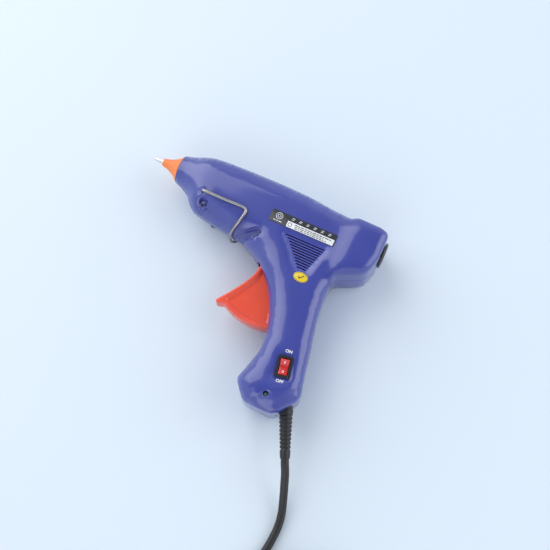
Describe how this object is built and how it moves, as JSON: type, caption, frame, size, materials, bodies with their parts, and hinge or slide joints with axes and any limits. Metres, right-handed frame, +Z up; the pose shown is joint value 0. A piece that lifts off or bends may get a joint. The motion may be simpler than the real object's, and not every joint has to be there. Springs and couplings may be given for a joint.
{
  "type": "glue gun",
  "caption": "Pistol-shaped hot melt glue gun with a nozzle, trigger feed, folding wire stand, grip switch and mains lead, lying on its side.",
  "frame": {"origin": "on the surface the gun lies on, under the middle of the gun's own box, its lead not counted", "axes": "+X from the nozzle to the rear inlet along the barrel, +Y from the grip to the top of the barrel, +Z up, out of the gun's left side"},
  "size_m": [0.293, 0.3301, 0.0414],
  "materials": {
    "shell": "smooth violet-blue moulded shell",
    "red_plastic": "satin red moulding",
    "silicone_orange": "matt orange silicone",
    "steel": "zinc plated or drawn steel",
    "nozzle_metal": "turned, nickel plated",
    "aluminium": "die cast",
    "brass": "bright sheet",
    "mica": "mica insulating sheet",
    "ceramic": "sintered ceramic",
    "phenolic": "heat resistant moulding",
    "silicone_red": "red silicone",
    "white_plastic": "satin nylon",
    "black_plastic": "satin black",
    "black_rubber": "black flexible PVC",
    "green_lens": "dark green translucent lens",
    "circuit_board": "green laminate",
    "label": "printed paper under film",
    "sticker": "yellow film"
  },
  "bodies": {
    "gun": {"housing_left": "shell", "housing_right": "shell", "housing_screw_1": "steel", "housing_screw_2": "steel", "housing_screw_3": "steel", "housing_screw_4": "steel", "housing_screw_5": "steel", "housing_screw_6": "steel", "nozzle": "nozzle_metal", "nozzle_boot": "silicone_orange", "melt_chamber": "aluminium", "mica_sheet_1": "mica", "mica_sheet_2": "mica", "electrode_1": "brass", "electrode_2": "brass", "heater_chip_1": "ceramic", "heater_chip_2": "ceramic", "heater_wedge": "aluminium", "front_support": "phenolic", "rear_support": "phenolic", "feed_sleeve": "silicone_red", "sleeve_clamp": "steel", "inlet_guide": "black_plastic", "trigger_pin": "steel", "return_spring": "steel", "switch_body": "black_plastic", "led_lens": "green_lens", "led_board": "circuit_board", "rating_label": "label", "check_sticker": "sticker", "cord_clamp": "white_plastic", "clamp_screw_1": "steel", "clamp_screw_2": "steel", "heater_wire_1": "silicone_red", "heater_wire_2": "silicone_red", "switch_wire_1": "silicone_red", "switch_wire_2": "silicone_red", "strain_relief": "black_rubber", "supply_lead": "black_rubber", "cord_coil": "black_rubber", "tail_lead": "black_rubber", "plug_body": "black_rubber", "plug_pin_1": "brass", "plug_pin_2": "brass"},
    "trigger": {"trigger": "red_plastic"},
    "feed_carriage": {"feed_carriage": "white_plastic", "gripper_pin": "steel"},
    "gripper": {"gripper": "steel"},
    "stand": {"stand_wire": "steel"},
    "rocker": {"rocker": "red_plastic"}
  },
  "joints": [
    {"name": "trigger_pull", "type": "hinge", "parent": "gun", "child": "trigger", "pos_m": [0.027, 0.02074, 0.0205], "axis": [0, 0, 1], "range_deg": [0, 24], "stiffness_Nm_per_rad": 0.6, "springref_deg": -8.59},
    {"name": "carriage_feed", "type": "slide", "parent": "gun", "child": "feed_carriage", "axis": [-1, 0, 0], "range_m": [0, 0.0093], "deforming": ["return_spring"]},
    {"name": "gripper_tilt", "type": "hinge", "parent": "feed_carriage", "child": "gripper", "pos_m": [0.04, 0.04924, 0.0205], "axis": [0, 0, -1], "range_deg": [0, 6.2]},
    {"name": "stand_fold", "type": "hinge", "parent": "gun", "child": "stand", "pos_m": [-0.043, 0.04474, 0.0205], "axis": [0, 0, -1], "range_deg": [0, 95]},
    {"name": "switch_rock", "type": "hinge", "parent": "gun", "child": "rocker", "pos_m": [0.0622, -0.04596, 0.0381], "axis": [0.9803, 0.1977, 0], "range_deg": [0, 16]}
  ],
  "couplings": [
    {"joint": "carriage_feed", "follows": "trigger_pull", "m_per_rad": 0.021844},
    {"joint": "gripper_tilt", "follows": "trigger_pull", "ratio": 0.25}
  ]
}
